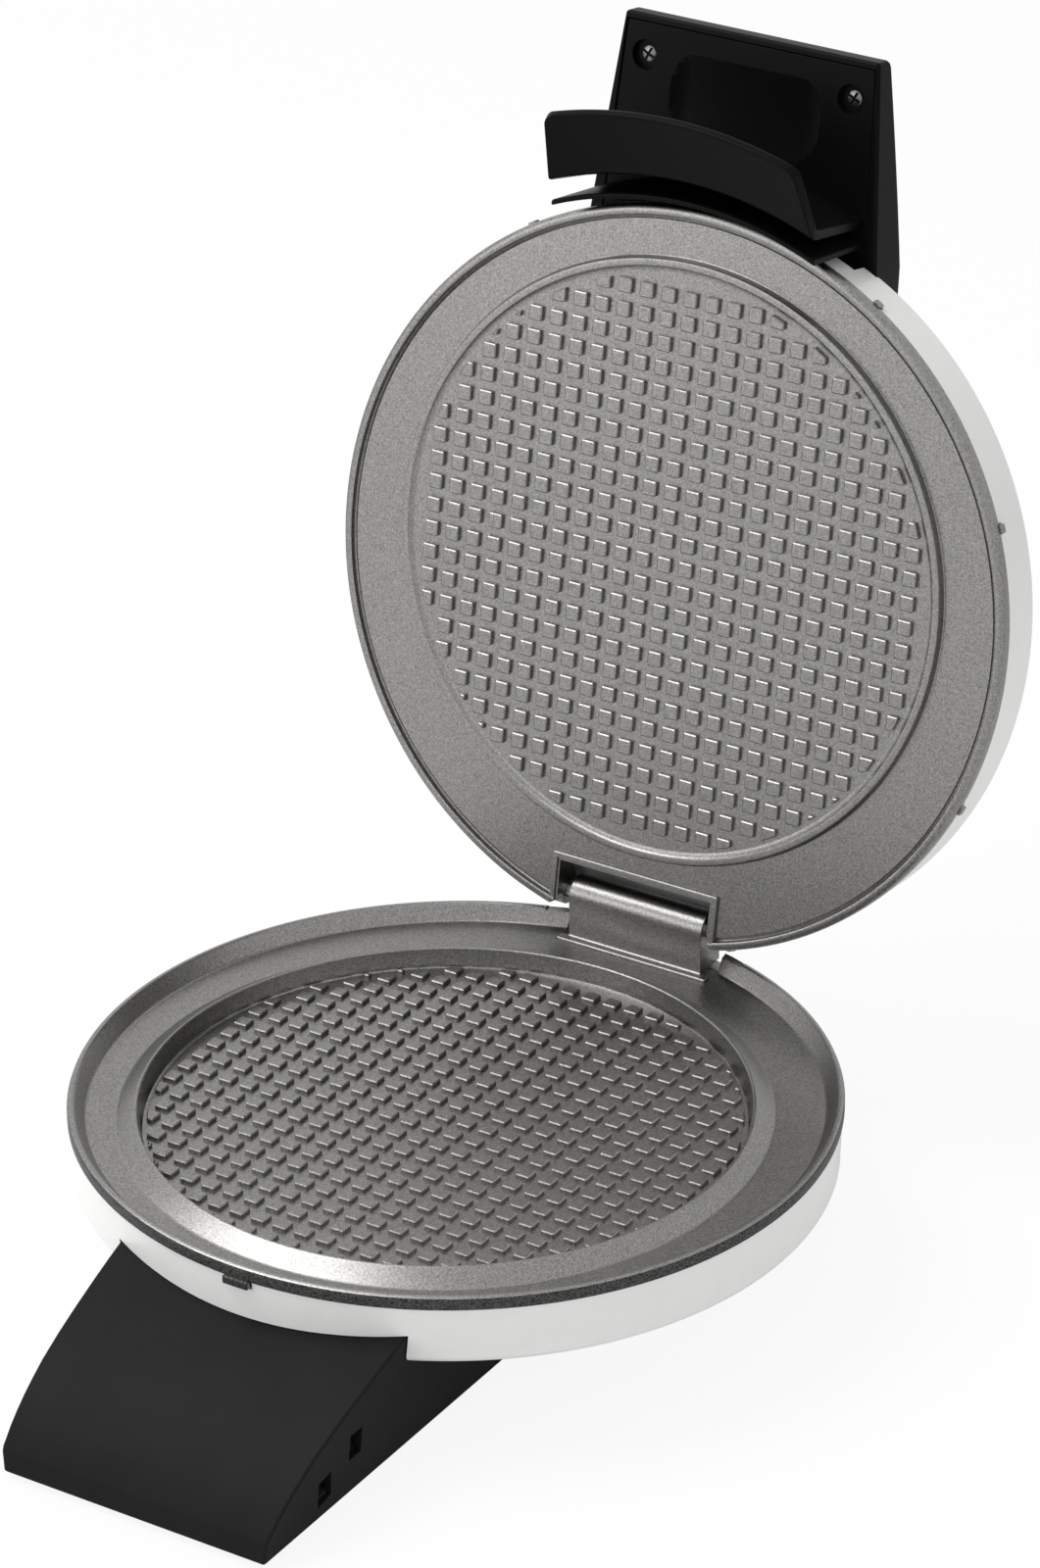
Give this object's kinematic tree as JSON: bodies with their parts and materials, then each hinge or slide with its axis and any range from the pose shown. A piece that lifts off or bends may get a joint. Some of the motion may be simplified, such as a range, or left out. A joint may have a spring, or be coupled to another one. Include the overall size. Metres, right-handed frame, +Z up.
{
  "type": "stroopwafel maker",
  "caption": "Open stroopwafel maker: round coated baking plates with a fine grid of squares in white housings, a black wedge-fronted stand and a hinged lid with a black guarded handle.",
  "frame": {"origin": "centre of the bounding box of the maker with its lid open, on the plane that it stands on", "axes": "+Z up; +X along the hinge, to the right as seen from the front; +Y from the front edge of the stand towards the hinge"},
  "size_m": [0.215, 0.3232, 0.309],
  "materials": {
    "white": "satin moulded plastic",
    "black": "matte moulded plastic",
    "coated": "speckled grey non-stick coating on cast aluminium",
    "steel": "plain steel",
    "screw": "zinc-plated steel",
    "ceramic": "unglazed ceramic",
    "block": "natural nylon",
    "rubber": "soft black rubber",
    "red_lens": "red lens",
    "green_lens": "green lens"
  },
  "bodies": {
    "base": {"base_housing": "white", "lower_plate": "coated", "lower_element": "steel", "lower_clamp_disc": "steel", "lower_clamp_screws": "screw", "thermal_cutout": "ceramic", "lower_plate_screws": "screw", "stand": "black", "stand_screws": "screw", "stand_cover": "black", "cover_screws": "screw", "rubber_feet": "rubber", "cord_gland": "rubber", "terminal_block": "block"},
    "lid": {"upper_plate": "coated", "upper_element": "steel", "upper_clamp_disc": "steel", "upper_clamp_screws": "screw", "thermostat": "ceramic", "upper_plate_screws": "screw", "lid_housing": "white", "handle_shell": "black", "handle_screws": "screw", "handle_cover": "black", "handle_cover_screws": "screw", "power_lamp_lens": "red_lens", "ready_lamp_lens": "green_lens", "hinge_pin": "steel", "hinge_clips": "steel"}
  },
  "joints": [
    {"name": "lid_hinge", "type": "hinge", "parent": "base", "child": "lid", "pos_m": [0, 0.09738, 0.06], "axis": [1, 0, 0], "range_deg": [0, 100.46]}
  ]
}
